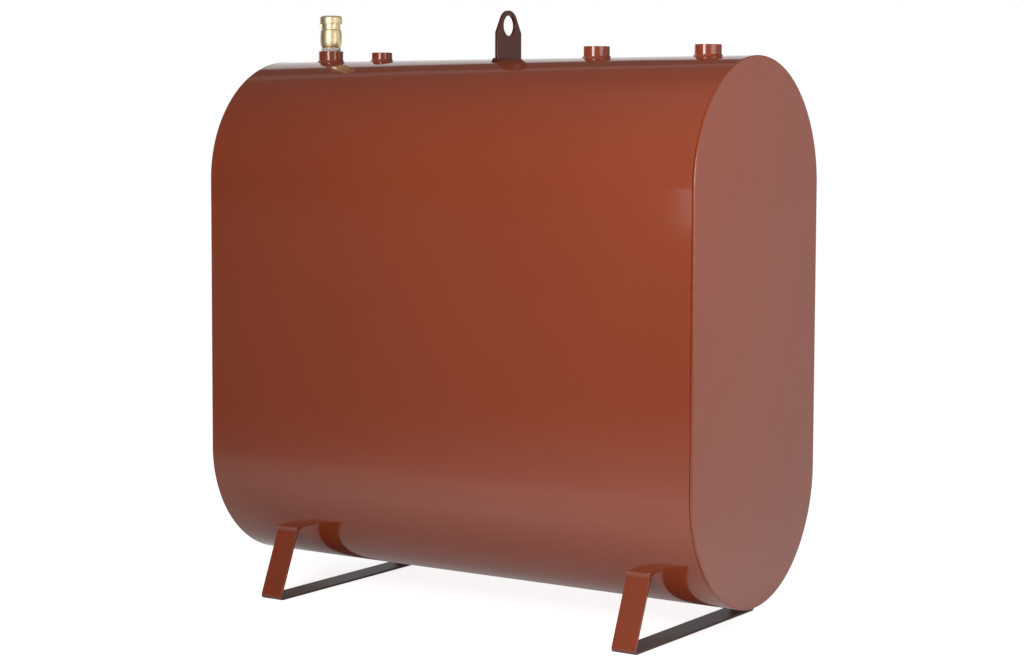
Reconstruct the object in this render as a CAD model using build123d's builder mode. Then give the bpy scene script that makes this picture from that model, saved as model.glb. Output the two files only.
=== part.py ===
from build123d import *
import os
from math import asin, atan2, cos, degrees, hypot, radians, sin, sqrt, tan

# Driving dimensions of an upright obround steel tank for heating oil, in millimetres

# tank body
body_length = 1500.0
body_width = 650.0
body_height = 1380.0
ground_clearance = 81.0
shell_sheet = 3.0
head_sheet = 4.0
head_inset = 2.0

# weld beads
head_bead_lap = 2.5
head_bead_rise = 0.6
head_bead_corner = 2.0
seam_bead_width = 9.0
seam_bead_rise = 1.6
socket_bead_leg = 4.0
lug_bead_leg = 8.0
lug_bead_short = 14.0
foot_bead_leg = 9.0
foot_bead_swell = 2.2

# clearance between round faces that seat on each other
seat_gap = 0.2

# threaded half sockets: three for 2 inch pipe and one for 1 1/2 inch pipe
large_socket_od = 68.0
large_socket_bore = 56.66
large_socket_rise = 28.8
small_socket_od = 56.0
small_socket_bore = 44.85
small_socket_rise = 22.6
socket_reach = 6.0
socket_chamfer = 1.2

# places along the crown line
filler_from_end = 160.0
filler_to_vent = 177.5
lug_off_middle = 4.0
lug_to_gauge = 274.0
suction_from_end = 146.0
crown_strip_width = 150.0

# lifting lug: a plate with straight sides up to its shoulders and a round eye
lug_plate = 8.0
lug_width = 114.0
lug_shoulder = 69.0
lug_eye_height = 87.5
lug_eye_outer = 40.0
lug_eye_hole = 27.0

# brass fill fitting, turned, with its cap
fill_bore = 40.0
fill_thread_length = 20.0
fill_thread_slack = 0.3
fill_shoulder_rise = 0.5
fill_throat_radius = 24.0
fill_throat_height = 8.4
fill_barrel_low_radius = 29.4
fill_barrel_radius = 30.1
fill_barrel_high_radius = 29.4
fill_barrel_top_radius = 27.0
fill_barrel_height = 51.0
fill_neck_radius = 26.0
fill_neck_height = 16.0
fill_rim_height = 16.0
seal_radius = 28.2
seal_end_gap = 0.4
cap_radius = 30.6
cap_height = 22.4
cap_rounding = 7.0
cap_lip = 0.8
cap_lip_height = 2.5
cap_slack = 0.4
lock_tab_reach = 33.0
lock_tab_width = 6.0
lock_tab_height = 5.0
lock_tab_hole = 1.5
lock_tab_drop = 4.5
lock_tab_angle = 213.8

# bent flat-bar feet
foot_from_end = 194.5
foot_bar_width = 68.0
foot_bar = 6.0
foot_base_inset = 2.0
foot_lean = 22.8
foot_bend_outer = 11.0

# Levels and radii worked out from the values above
round_radius = body_width / 2
seat_radius = round_radius + seat_gap
side_height = body_height - body_width
belly_axis_z = ground_clearance + round_radius
crown_axis_z = belly_axis_z + side_height
middle_z = ground_clearance + body_height / 2
crown_top_z = crown_axis_z + round_radius
shell_half = body_length / 2 - head_sheet
middle_plane = Plane.XY.offset(middle_z)
filler_x = filler_from_end - body_length / 2
vent_x = filler_x + filler_to_vent
lug_x = lug_off_middle
gauge_x = lug_x + lug_to_gauge
suction_x = body_length / 2 - suction_from_end
crown_axis = Axis((0, 0, crown_axis_z), (-1, 0, 0))

large_socket = (large_socket_od, large_socket_bore, large_socket_rise)
small_socket = (small_socket_od, small_socket_bore, small_socket_rise)
sockets = {
    "filler": (filler_x, *large_socket),
    "vent": (vent_x, *small_socket),
    "gauge": (gauge_x, *large_socket),
    "suction": (suction_x, *large_socket),
}

os.makedirs("parts", exist_ok=True)


def save(piece, label):
    """Name a finished piece and write it to its own file."""
    piece.part.label = label
    export_step(piece.part, f"parts/{label}.step")


def mirrored(piece, plane):
    """The same piece on the other side of a plane."""
    with BuildPart() as copy:
        add(mirror(piece.part, about=plane))
    return copy


def upright_plane(x, z):
    """A plane across the tank's depth, with its own X along the tank and its own Y up."""
    return Plane(origin=(x, 0, z), x_dir=(1, 0, 0), z_dir=(0, -1, 0))


def cut_round(axis_z):
    """Cut the round of the shell, with its seat clearance, out of the open piece."""
    with BuildSketch(Plane.YZ) as round_face:
        with Locations((0, axis_z)):
            Circle(seat_radius)
    extrude(round_face.sketch, amount=body_length, both=True, mode=Mode.SUBTRACT)


def rolled_sheet(axis_z, low_corner, high_corner):
    """The stretch of a ring of sheet, seen from the end, that lies in a rectangle."""
    width = high_corner[0] - low_corner[0]
    height = high_corner[1] - low_corner[1]
    with BuildSketch(Plane.YZ) as section:
        with Locations((0, axis_z)):
            Circle(round_radius)
            Circle(round_radius - shell_sheet, mode=Mode.SUBTRACT)
        with Locations(low_corner):
            Rectangle(width, height, align=(Align.MIN, Align.MIN), mode=Mode.INTERSECT)
    extrude(section.sketch, amount=shell_half, both=True)


# Shell: one wrapped sheet, taken as a strip along the crown with a quarter round on each
# side of it, two flat sides and a belly
strip_edge = crown_strip_width / 2
with BuildPart() as shell_crown_strip:
    rolled_sheet(crown_axis_z, (-strip_edge, crown_axis_z), (strip_edge, crown_top_z))
    for socket_x, socket_od, _, _ in sockets.values():
        with BuildSketch(Plane.XY.offset(crown_axis_z)):
            with Locations((socket_x, 0)):
                Circle(socket_od / 2 + seat_gap)
        extrude(amount=round_radius, mode=Mode.SUBTRACT)
save(shell_crown_strip, "shell_crown_strip")

with BuildPart() as shell_crown_front:
    rolled_sheet(crown_axis_z, (-round_radius, crown_axis_z), (-strip_edge, crown_top_z))
save(shell_crown_front, "shell_crown_front")
save(mirrored(shell_crown_front, Plane.XZ), "shell_crown_back")

with BuildPart() as shell_belly:
    rolled_sheet(belly_axis_z, (-round_radius, ground_clearance), (round_radius, belly_axis_z))
save(shell_belly, "shell_belly")

with BuildPart() as shell_front_side:
    with BuildSketch(Plane.XZ.offset(round_radius - shell_sheet)):
        with Locations((0, middle_z)):
            Rectangle(2 * shell_half, side_height)
    extrude(amount=shell_sheet)
save(shell_front_side, "shell_front_side")
save(mirrored(shell_front_side, Plane.XZ), "shell_back_side")

# The bead that closes the wrapped sheet runs along the lowest line of the belly
with BuildPart() as belly_seam_weld:
    seam_edge_y = seam_bead_width / 2
    seam_edge_z = belly_axis_z - sqrt(seat_radius**2 - seam_edge_y**2)
    seam_low_z = ground_clearance - seam_bead_rise
    with BuildSketch(Plane.YZ):
        with BuildLine():
            ThreePointArc((-seam_edge_y, seam_edge_z), (0, seam_low_z), (seam_edge_y, seam_edge_z))
            Line((seam_edge_y, seam_edge_z), (0, belly_axis_z))
            Line((0, belly_axis_z), (-seam_edge_y, seam_edge_z))
        make_face()
    extrude(amount=shell_half - head_bead_lap - seat_gap, both=True)
    cut_round(belly_axis_z)
save(belly_seam_weld, "belly_seam_weld")

# Flat heads lap the ends of the shell, set in from its outside to leave room for a bead
head_half_width = round_radius - head_inset
with BuildPart() as head_right:
    with BuildSketch(Plane.YZ.offset(shell_half)):
        with Locations((0, middle_z)):
            SlotCenterToCenter(side_height, 2 * head_half_width, rotation=90)
    extrude(amount=head_sheet)
save(head_right, "head_right")
save(mirrored(head_right, Plane.YZ), "head_left")

# Corner bead: it fills the notch beside the head and laps on to both plates, a little proud
with BuildPart() as head_weld_right:
    with BuildSketch(Plane.XY.offset(crown_axis_z)) as head_bead:
        head_face_x = body_length / 2
        head_edge_y = -(head_half_width + seat_gap)
        shell_toe = (shell_half - head_bead_lap, -seat_radius)
        head_toe = (head_face_x, head_edge_y + head_bead_lap)
        shell_crest = (head_face_x - head_bead_corner, -(round_radius + head_bead_rise))
        head_crest = (head_face_x + head_bead_rise, -(round_radius - head_bead_corner))
        with BuildLine():
            Polyline(
                shell_toe,
                shell_crest,
                head_crest,
                head_toe,
                (head_face_x, head_edge_y),
                (shell_half, head_edge_y),
                (shell_half, -seat_radius),
                shell_toe,
            )
        make_face()
    revolve(head_bead.sketch, axis=crown_axis, revolution_arc=180)
    mirror(about=middle_plane)
    front_run = extrude(head_bead.sketch, amount=-side_height)
    mirror(front_run, about=Plane.XZ)
save(head_weld_right, "head_weld_right")
save(mirrored(head_weld_right, Plane.YZ), "head_weld_left")

# Half sockets stand through holes in the crown, each with a bead round its foot
for name, (socket_x, socket_od, socket_bore, socket_rise) in sockets.items():
    with BuildPart() as socket:
        with BuildSketch(Plane.XY.offset(crown_top_z - socket_reach)):
            with Locations((socket_x, 0)):
                Circle(socket_od / 2)
                Circle(socket_bore / 2, mode=Mode.SUBTRACT)
        extrude(amount=socket_reach + socket_rise)
        top_edges = socket.faces().sort_by(Axis.Z)[-1].edges()
        chamfer(top_edges.sort_by(SortBy.RADIUS)[0], length=socket_chamfer)
    save(socket, f"{name}_socket")

    with BuildPart() as socket_weld:
        socket_wall = socket_od / 2 + seat_gap
        with BuildSketch(upright_plane(socket_x, crown_top_z)):
            Polygon(
                (socket_wall, socket_bead_leg),
                (socket_wall, -socket_bead_leg),
                (socket_wall + 2 * socket_bead_leg, -socket_bead_leg),
                align=None,
            )
        revolve(axis=Axis((socket_x, 0, 0), (0, 0, 1)))
        cut_round(crown_axis_z)
    save(socket_weld, f"{name}_socket_weld")

# Lifting lug: a plate across the tank, cut at its foot to the crown's curve
with BuildPart() as lifting_lug:
    with BuildSketch(Plane.YZ.offset(lug_x)):
        with Locations((0, crown_axis_z)):
            Rectangle(lug_width, round_radius + lug_shoulder, align=(Align.CENTER, Align.MIN))
        with Locations((0, crown_top_z + lug_eye_height)):
            Circle(lug_eye_outer)
        make_hull()
        with Locations((0, crown_top_z + lug_eye_height)):
            Circle(lug_eye_hole, mode=Mode.SUBTRACT)
    extrude(amount=lug_plate / 2, both=True)
    cut_round(crown_axis_z)
save(lifting_lug, "lifting_lug")

# The lug's bead is bent to the crown on both faces and slopes down past the plate's edges
with BuildPart() as lug_weld:
    bead_top_radius = seat_radius + lug_bead_leg
    edge_y = lug_width / 2
    toe_y = edge_y + lug_bead_leg
    edge_z = crown_axis_z + sqrt(bead_top_radius**2 - edge_y**2)
    toe_z = crown_axis_z + sqrt(seat_radius**2 - toe_y**2)
    bead_sweep = degrees(asin(toe_y / seat_radius)) + 1
    with BuildSketch(Plane.XZ):
        with Locations((lug_x, crown_axis_z)):
            Polygon(
                (-lug_plate / 2 - lug_bead_leg, seat_radius),
                (lug_plate / 2 + lug_bead_leg, seat_radius),
                (lug_plate / 2, bead_top_radius),
                (-lug_plate / 2, bead_top_radius),
                align=None,
            )
    revolve(axis=crown_axis, revolution_arc=bead_sweep)
    mirror(about=Plane.XZ)
    for end in (-1, 1):
        slope_normal = (0, end * (edge_z - toe_z), toe_y - edge_y)
        end_slope = Plane(origin=(0, end * toe_y, toe_z), x_dir=(1, 0, 0), z_dir=slope_normal)
        split(bisect_by=end_slope, keep=Keep.BOTTOM)
    with BuildSketch(Plane.YZ.offset(lug_x)):
        with Locations((0, crown_axis_z)):
            Rectangle(lug_width, 2 * round_radius, align=(Align.CENTER, Align.MIN))
    extrude(amount=lug_plate / 2, both=True, mode=Mode.SUBTRACT)
    # towards the fill fitting the bead stops short of the plate's front edge
    with BuildSketch(Plane.XY.offset(crown_axis_z)):
        with Locations((lug_x - lug_plate / 2, lug_bead_short - edge_y)):
            Rectangle(2 * lug_bead_leg, body_width, align=(Align.MAX, Align.MAX))
    extrude(amount=2 * round_radius, mode=Mode.SUBTRACT)
save(lug_weld, "lug_weld")

# Brass fill fitting: thread, throat, bulged barrel and plain neck, turned about one axis
thread_radius = large_socket_bore / 2 - fill_thread_slack
shoulder_z = crown_top_z + large_socket_rise + fill_shoulder_rise
barrel_z = shoulder_z + fill_throat_height
neck_z = barrel_z + fill_barrel_height
cap_z = neck_z + fill_neck_height
rim_z = cap_z + fill_rim_height
fill_axis = Axis((filler_x, 0, 0), (0, 0, 1))

with BuildPart() as filler_body:
    thread_low_z = crown_top_z + large_socket_rise - fill_thread_length
    with BuildSketch(upright_plane(filler_x, 0)):
        with BuildLine():
            Polyline(
                (fill_throat_radius, barrel_z),
                (fill_barrel_low_radius, barrel_z + fill_barrel_height / 4),
                (fill_barrel_radius, barrel_z + fill_barrel_height / 2),
                (fill_barrel_high_radius, barrel_z + fill_barrel_height * 3 / 4),
                (fill_barrel_top_radius, neck_z),
                (fill_neck_radius, neck_z),
                (fill_neck_radius, rim_z),
                (fill_bore / 2, rim_z),
                (fill_bore / 2, thread_low_z),
                (thread_radius, thread_low_z),
                (thread_radius, shoulder_z),
                (fill_throat_radius, shoulder_z),
                (fill_throat_radius, barrel_z),
            )
        make_face()
    revolve(axis=fill_axis)
    # a small pierced tab on the neck takes a lock or a lead seal
    tab_start = fill_bore / 2 + (fill_neck_radius - fill_bore / 2) / 2
    with BuildSketch(Plane.XY.offset(cap_z - lock_tab_drop - lock_tab_height)):
        with Locations(Location((filler_x, 0, 0), (0, 0, lock_tab_angle))):
            with Locations((tab_start, 0)):
                Rectangle(
                    lock_tab_reach - tab_start,
                    lock_tab_width,
                    align=(Align.MIN, Align.CENTER),
                )
            with Locations(((fill_neck_radius + lock_tab_reach) / 2, 0)):
                Circle(lock_tab_hole, mode=Mode.SUBTRACT)
    extrude(amount=lock_tab_height)
save(filler_body, "filler_body")

with BuildPart() as filler_seal:
    with BuildSketch(Plane.XY.offset(shoulder_z)):
        with Locations((filler_x, 0)):
            Circle(seal_radius)
            Circle(fill_throat_radius + seat_gap, mode=Mode.SUBTRACT)
    extrude(amount=fill_throat_height - seal_end_gap)
save(filler_seal, "filler_seal")

# The cap slips over the neck and closes on its rim
with BuildPart() as filler_cap:
    skirt_radius = fill_neck_radius + cap_slack
    lip_radius = cap_radius + cap_lip
    round_start = cap_height - cap_rounding
    round_middle = cap_rounding * (1 - sin(radians(45)))
    with BuildSketch(upright_plane(filler_x, cap_z)):
        with BuildLine():
            Polyline(
                (0, cap_height),
                (0, fill_rim_height),
                (skirt_radius, fill_rim_height),
                (skirt_radius, 0),
                (lip_radius, 0),
                (lip_radius, cap_lip_height),
                (cap_radius, cap_lip_height),
                (cap_radius, round_start),
                (cap_radius - round_middle, cap_height - round_middle),
                (cap_radius - cap_rounding, cap_height),
                (0, cap_height),
            )
        make_face()
    revolve(axis=fill_axis)
save(filler_cap, "filler_cap")

# Feet: one flat bar each, bent up at both ends and cut at the tops to the belly's curve
half_base = body_width / 2 - foot_base_inset
lean_run = tan(radians(foot_lean))
bar_across = foot_bar / cos(radians(foot_lean))
foot_x = body_length / 2 - foot_from_end

with BuildPart() as foot_right:
    top_z = belly_axis_z
    outer_top_y = half_base - top_z * lean_run
    inner_base_y = half_base - bar_across - foot_bar * lean_run
    inner_top_y = outer_top_y - bar_across
    with BuildSketch(Plane.YZ.offset(foot_x)):
        with BuildLine():
            FilletPolyline(
                (-outer_top_y, top_z),
                (-half_base, 0),
                (half_base, 0),
                (outer_top_y, top_z),
                radius=foot_bend_outer,
            )
            Line((outer_top_y, top_z), (inner_top_y, top_z))
            FilletPolyline(
                (inner_top_y, top_z),
                (inner_base_y, foot_bar),
                (-inner_base_y, foot_bar),
                (-inner_top_y, top_z),
                radius=foot_bend_outer - foot_bar,
            )
            Line((-inner_top_y, top_z), (-outer_top_y, top_z))
        make_face()
    extrude(amount=foot_bar_width / 2, both=True)
    cut_round(belly_axis_z)
save(foot_right, "foot_right")
save(mirrored(foot_right, Plane.YZ), "foot_left")

# Foot bead: in the corner between a leg's outer face and the belly, where the two meet
leg_a = 1 + lean_run**2
leg_b = half_base * lean_run + belly_axis_z
leg_c = half_base**2 + belly_axis_z**2 - seat_radius**2
meet_z = (leg_b - sqrt(leg_b**2 - leg_a * leg_c)) / leg_a
meet_y = -(half_base - meet_z * lean_run)
low_y = meet_y - foot_bead_leg * sin(radians(foot_lean))
low_z = meet_z - foot_bead_leg * cos(radians(foot_lean))
meet_angle = atan2(meet_z - belly_axis_z, meet_y)
high_angle = meet_angle - foot_bead_leg / seat_radius
high_y = seat_radius * cos(high_angle)
high_z = belly_axis_z + seat_radius * sin(high_angle)
chord = hypot(high_y - low_y, high_z - low_z)
swell_y = (low_y + high_y) / 2 - foot_bead_swell * (high_z - low_z) / chord
swell_z = (low_z + high_z) / 2 + foot_bead_swell * (high_y - low_y) / chord

with BuildPart() as right_front_foot_weld:
    with BuildSketch(Plane.YZ.offset(foot_x)):
        with BuildLine():
            ThreePointArc((low_y, low_z), (swell_y, swell_z), (high_y, high_z))
            Polyline((high_y, high_z), (meet_y, meet_z), (low_y, low_z))
        make_face()
    extrude(amount=foot_bar_width / 2, both=True)
    cut_round(belly_axis_z)
save(right_front_foot_weld, "right_front_foot_weld")
right_back_foot_weld = mirrored(right_front_foot_weld, Plane.XZ)
save(right_back_foot_weld, "right_back_foot_weld")
save(mirrored(right_front_foot_weld, Plane.YZ), "left_front_foot_weld")
save(mirrored(right_back_foot_weld, Plane.YZ), "left_back_foot_weld")
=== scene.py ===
import math

import bmesh
import bpy
from mathutils import Matrix, Vector
from mathutils.geometry import interpolate_bezier


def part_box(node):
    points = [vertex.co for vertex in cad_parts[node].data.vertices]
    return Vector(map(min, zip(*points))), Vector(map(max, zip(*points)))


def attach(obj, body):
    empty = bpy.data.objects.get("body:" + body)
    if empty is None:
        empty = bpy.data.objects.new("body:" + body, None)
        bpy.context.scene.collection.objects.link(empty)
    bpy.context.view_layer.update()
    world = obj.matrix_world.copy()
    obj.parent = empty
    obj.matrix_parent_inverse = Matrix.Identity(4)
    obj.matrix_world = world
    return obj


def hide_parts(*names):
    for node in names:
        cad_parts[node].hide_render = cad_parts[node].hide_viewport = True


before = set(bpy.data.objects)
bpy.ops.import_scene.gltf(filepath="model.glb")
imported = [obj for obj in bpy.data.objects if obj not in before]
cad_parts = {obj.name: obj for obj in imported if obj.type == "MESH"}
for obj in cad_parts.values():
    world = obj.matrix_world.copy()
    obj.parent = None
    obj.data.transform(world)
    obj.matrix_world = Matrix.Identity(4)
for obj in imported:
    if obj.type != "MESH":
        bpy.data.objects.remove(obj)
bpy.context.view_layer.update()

mm = 0.001
scene = bpy.context.scene

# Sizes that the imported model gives, in metres
belly_low, belly_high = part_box("shell_belly")
side_low, side_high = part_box("shell_front_side")
head_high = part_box("head_right")[1]
lug_low, lug_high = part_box("lifting_lug")
round_radius = belly_high.y
shell_half = belly_high.x
belly_axis_z = side_low.z
crown_axis_z = side_high.z
crown_top_z = crown_axis_z + round_radius
middle_z = (belly_axis_z + crown_axis_z) / 2
side_height = crown_axis_z - belly_axis_z
end_x = head_high.x

# Points closer than these count as one
fine_merge = 0.01 * mm
coarse_merge = 0.02 * mm

# Straight steps round the shell, the heads and the cuts that follow them
round_steps = 256

# Sheet and bead sizes
sheet = 3 * mm
oil_canning = 0.7 * mm
bead_step = 1.25 * mm
ripple_height = 0.22 * mm
steps_per_ripple = 3
head_waviness = 1.0 * mm
pipe_thread_pitch = 2.309 * mm

# Bores of the sockets: the least diameters of 2 inch and 1 1/2 inch pipe threads
large_bore = 56.66 * mm
small_bore = 44.85 * mm

# Bent bar of the feet, and their beads
foot_bar = 6 * mm
bend_outer = 11 * mm
leg_lean = math.radians(22.8)
foot_bead_leg = 8.6 * mm
foot_bead_swell = 1.3 * mm


class Value:
    """An output socket that stands in Python sums. Each sum adds its own Math node."""

    def __init__(self, nodes, socket):
        self.nodes = nodes
        self.socket = socket

    def sum(self, operation, *values):
        return self.nodes.add("ShaderNodeMath", {"operation": operation}, dict(enumerate(values)))

    def __add__(self, other):
        return self.sum("ADD", self, other)

    def __radd__(self, other):
        return self.sum("ADD", other, self)

    def __sub__(self, other):
        return self.sum("SUBTRACT", self, other)

    def __rsub__(self, other):
        return self.sum("SUBTRACT", other, self)

    def __mul__(self, other):
        return self.sum("MULTIPLY", self, other)

    def __rmul__(self, other):
        return self.sum("MULTIPLY", other, self)


class NodeTree:
    """The nodes of one material, or of the world."""

    def __init__(self, owner):
        owner.use_nodes = True
        self.tree = owner.node_tree

    def add(self, kind, settings, inputs, output=0):
        """A new node: its settings first, then the values or links of its inputs."""
        node = self.tree.nodes.new(kind)
        for name, setting in settings.items():
            if name == "stops":
                self.set_stops(node.color_ramp, setting)
            else:
                setattr(node, name, setting)
        for name, value in inputs.items():
            self.feed(node.inputs[name], value)
        return Value(self, node.outputs[output])

    def feed(self, socket, value):
        if isinstance(value, Value):
            self.tree.links.new(value.socket, socket)
        else:
            socket.default_value = value

    def set_stops(self, ramp, stops):
        while len(ramp.elements) < len(stops):
            ramp.elements.new(1.0)
        for element, (position, colour) in zip(ramp.elements, stops):
            element.position = position
            element.color = colour

    def noise(self, place, scale, detail=2.0, roughness=0.5):
        inputs = {"Vector": place, "Scale": scale, "Detail": detail, "Roughness": roughness}
        return self.add("ShaderNodeTexNoise", {}, inputs)

    def ramp(self, value, *stops):
        """A number that follows the stops, each a position and its level."""
        stops = [(position, (level, level, level, 1)) for position, level in stops]
        return self.add("ShaderNodeValToRGB", {"stops": stops}, {"Fac": value})

    def blend(self, share, first, second):
        """A colour between two colours."""
        inputs = {0: share, 6: first, 7: second}
        return self.add("ShaderNodeMix", {"data_type": "RGBA"}, inputs, output=2)

    def bump(self, height, distance):
        inputs = {"Height": height, "Distance": distance, "Strength": 1.0}
        return self.add("ShaderNodeBump", {}, inputs)

    def object_place(self):
        return self.add("ShaderNodeTexCoord", {}, {}, output="Object")


def new_finish(name, **constants):
    """A material, its nodes and its shader, with the shader's fixed values set."""
    material = bpy.data.materials.new(name)
    nodes = NodeTree(material)
    shader = nodes.tree.nodes["Principled BSDF"]
    for socket, value in constants.items():
        shader.inputs[socket.replace("_", " ")].default_value = value
    return material, nodes, shader


def red_oxide_enamel():
    """Glossy sprayed enamel: an uneven coat, orange peel, and smears that dull the gloss."""
    material, nodes, shader = new_finish("red_oxide_enamel", IOR=1.5)
    place = nodes.object_place()
    coat = nodes.noise(place, 2.4, detail=3.0)
    fleck = nodes.noise(place, 420.0, detail=2.0)
    smear = nodes.noise(place, 9.0, detail=4.0)
    peel = nodes.noise(place, 260.0, detail=1.0)
    level = nodes.add("ShaderNodeSeparateXYZ", {}, {0: place}, output="Z")
    # painted shade darkens the feet's base bars under the tank and dulls their gloss, and ends
    # just over them; levels are in centimetres
    painted_shade_low = nodes.ramp(level * (1 / (10 * mm)), (0.65, 1.0), (0.75, 0.0))
    depth = coat * 0.7 + fleck * 0.3
    thin_coat = (0.315, 0.060, 0.022, 1)
    full_coat = (0.262, 0.046, 0.0165, 1)
    # painted shade colour for the base bars under the tank
    painted_shade_colour = (0.110, 0.062, 0.052, 1)
    paint = nodes.blend(depth, thin_coat, full_coat)
    nodes.feed(shader.inputs["Base Color"], nodes.blend(painted_shade_low, paint, painted_shade_colour))
    nodes.feed(shader.inputs["Roughness"], smear * 0.05 + 0.055 + painted_shade_low * 0.42)
    nodes.feed(shader.inputs["Normal"], nodes.bump(peel, 0.007 * mm))
    return material


def thin_enamel_on_scale(middle_x, half_thick):
    """The lug's enamel: thin over dark plate, with painted shade on its cut edges, and darker on
    its bead.
    """
    material, nodes, shader = new_finish("thin_enamel_on_scale", IOR=1.5)
    place = nodes.object_place()
    x = nodes.add("ShaderNodeSeparateXYZ", {}, {0: place}, output="X")
    across = x - middle_x
    # painted shade: the cut edges across the plate's thickness are coloured darker than its faces
    on_face = nodes.ramp(
        across.sum("ABSOLUTE", across) * (0.8 / half_thick), (0.66, 0.0), (0.76, 1.0)
    )
    cloud = nodes.noise(place, 45.0, detail=4.0)
    fleck = nodes.noise(place, 420.0, detail=2.0)
    thin_coat = (0.150, 0.032, 0.014, 1)
    bare_scale = (0.115, 0.025, 0.011, 1)
    # painted shade colour for the cut edges
    painted_shade_edge = (0.062, 0.016, 0.008, 1)
    face = nodes.blend(cloud * 0.7 + fleck * 0.3, thin_coat, bare_scale)
    plate = nodes.blend(on_face, painted_shade_edge, face)
    distance = across.sum("ABSOLUTE", across) * 100.0
    on_bead = nodes.ramp(distance, (half_thick * 103.0, 0.0), (half_thick * 110.0, 1.0))
    bead = (0.080, 0.019, 0.010, 1)
    nodes.feed(shader.inputs["Base Color"], nodes.blend(on_bead, plate, bead))
    nodes.feed(shader.inputs["Roughness"], cloud * 0.12 + 0.14)
    nodes.feed(shader.inputs["Normal"], nodes.bump(fleck, 0.02 * mm))
    return material


def turned_brass(axis_x):
    """Lathe-turned brass, with fine rings round its axis and a thin tarnish."""
    material, nodes, shader = new_finish("turned_brass", Metallic=1.0)
    place = nodes.object_place()
    centred = nodes.add(
        "ShaderNodeVectorMath", {"operation": "SUBTRACT"}, {0: place, 1: (axis_x, 0, 0)}
    )
    level = nodes.add("ShaderNodeSeparateXYZ", {}, {0: place}, output="Z")
    flat = nodes.add(
        "ShaderNodeVectorMath", {"operation": "MULTIPLY"}, {0: centred, 1: (1, 1, 0)}
    )
    radius = nodes.add(
        "ShaderNodeVectorMath", {"operation": "LENGTH"}, {0: flat}, output="Value"
    )
    turned_place = nodes.add("ShaderNodeCombineXYZ", {}, {"X": radius, "Y": level, "Z": 0.0})
    rings = nodes.noise(turned_place, 1400.0, detail=2.0)
    tarnish = nodes.noise(place, 60.0, detail=5.0, roughness=0.6)
    tarnish = nodes.ramp(tarnish, (0.35, 0.0), (0.75, 1.0))
    bright = (0.94, 0.77, 0.48, 1)
    dulled = (0.60, 0.43, 0.20, 1)
    nodes.feed(shader.inputs["Base Color"], nodes.blend(tarnish * 0.5, bright, dulled))
    nodes.feed(shader.inputs["Roughness"], rings * 0.10 + tarnish * 0.10 + 0.33)
    nodes.feed(shader.inputs["Normal"], nodes.bump(rings, 0.02 * mm))
    return material


def pale_seal():
    """Off-white sealing washer, matte and a little soiled."""
    material, nodes, shader = new_finish("pale_seal", IOR=1.4)
    place = nodes.object_place()
    soil = nodes.noise(place, 240.0, detail=4.0)
    clean = (0.78, 0.77, 0.74, 1)
    soiled = (0.48, 0.45, 0.40, 1)
    nodes.feed(shader.inputs["Base Color"], nodes.blend(soil, clean, soiled))
    nodes.feed(shader.inputs["Roughness"], soil * 0.2 + 0.35)
    nodes.feed(shader.inputs["Normal"], nodes.bump(soil, 0.03 * mm))
    return material


def open_piece(name, add_primitive, **place):
    """Add a primitive with nothing else selected, and open it in edit mode."""
    bpy.ops.object.select_all(action="DESELECT")
    add_primitive(**place)
    piece = bpy.context.object
    piece.name = name
    piece.data.name = name
    bpy.ops.object.transform_apply(location=True, rotation=True, scale=True)
    bpy.ops.object.mode_set(mode="EDIT")
    bpy.ops.mesh.select_mode(type="VERT")
    return piece


def pick(piece, test, kind="verts"):
    """Select those vertices, edges or faces of the open mesh that pass a test."""
    modes = {"verts": "VERT", "edges": "EDGE", "faces": "FACE"}
    bpy.ops.mesh.select_mode(type=modes[kind])
    bpy.ops.mesh.select_all(action="DESELECT")
    mesh = bmesh.from_edit_mesh(piece.data)
    for part in getattr(mesh, kind):
        part.select_set(test(part))
    mesh.select_flush_mode()
    bmesh.update_edit_mesh(piece.data)


def only(piece):
    """Leave edit mode and select one piece alone."""
    if bpy.context.object and bpy.context.object.mode != "OBJECT":
        bpy.ops.object.mode_set(mode="OBJECT")
    bpy.ops.object.select_all(action="DESELECT")
    bpy.context.view_layer.objects.active = piece
    piece.select_set(True)


def apply_modifier(piece, kind, **settings):
    """Put one modifier on a piece and apply it."""
    only(piece)
    bpy.ops.object.modifier_add(type=kind)
    modifier = piece.modifiers[-1]
    for name, setting in settings.items():
        setattr(modifier, name, setting)
    bpy.ops.object.modifier_apply(modifier=modifier.name)


def round_edges(piece, width, segments=3, angle=40.0):
    """Round every edge that is sharper than the angle."""
    apply_modifier(
        piece,
        "BEVEL",
        width=width,
        segments=segments,
        limit_method="ANGLE",
        angle_limit=math.radians(angle),
    )


def clean_open_mesh():
    """Merge doubled points of the open mesh and turn its faces outwards."""
    bpy.ops.mesh.select_all(action="SELECT")
    bpy.ops.mesh.remove_doubles(threshold=coarse_merge)
    bpy.ops.mesh.normals_make_consistent(inside=False)


def finished(piece, finish, slot, *nodes, smooth_angle=35.0, flat_faces=False):
    """Place in the mesh, smooth shading and finish; hang the piece on the root body and hide the
    imported parts it stands for.
    """
    only(piece)
    bpy.ops.object.transform_apply(location=True, rotation=True, scale=True)
    bpy.ops.object.shade_smooth_by_angle(angle=math.radians(smooth_angle))
    if flat_faces:
        apply_modifier(piece, "WEIGHTED_NORMAL", keep_sharp=True)
    piece.data.materials.clear()
    piece.data.materials.append(finish)
    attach(piece, "root")
    if nodes:
        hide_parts(*nodes)
    return piece


def open_line(name, places):
    """A new open mesh: one point, extruded along a line of places."""
    piece = open_piece(name, bpy.ops.mesh.primitive_plane_add, size=mm, location=places[0])
    bpy.ops.mesh.select_all(action="SELECT")
    bpy.ops.mesh.merge(type="CENTER")
    for here, there in zip(places, places[1:]):
        bpy.ops.mesh.extrude_region_move(TRANSFORM_OT_translate={"value": there - here})
    bpy.ops.mesh.select_all(action="SELECT")
    bpy.ops.mesh.remove_doubles(threshold=fine_merge)
    return piece


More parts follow.
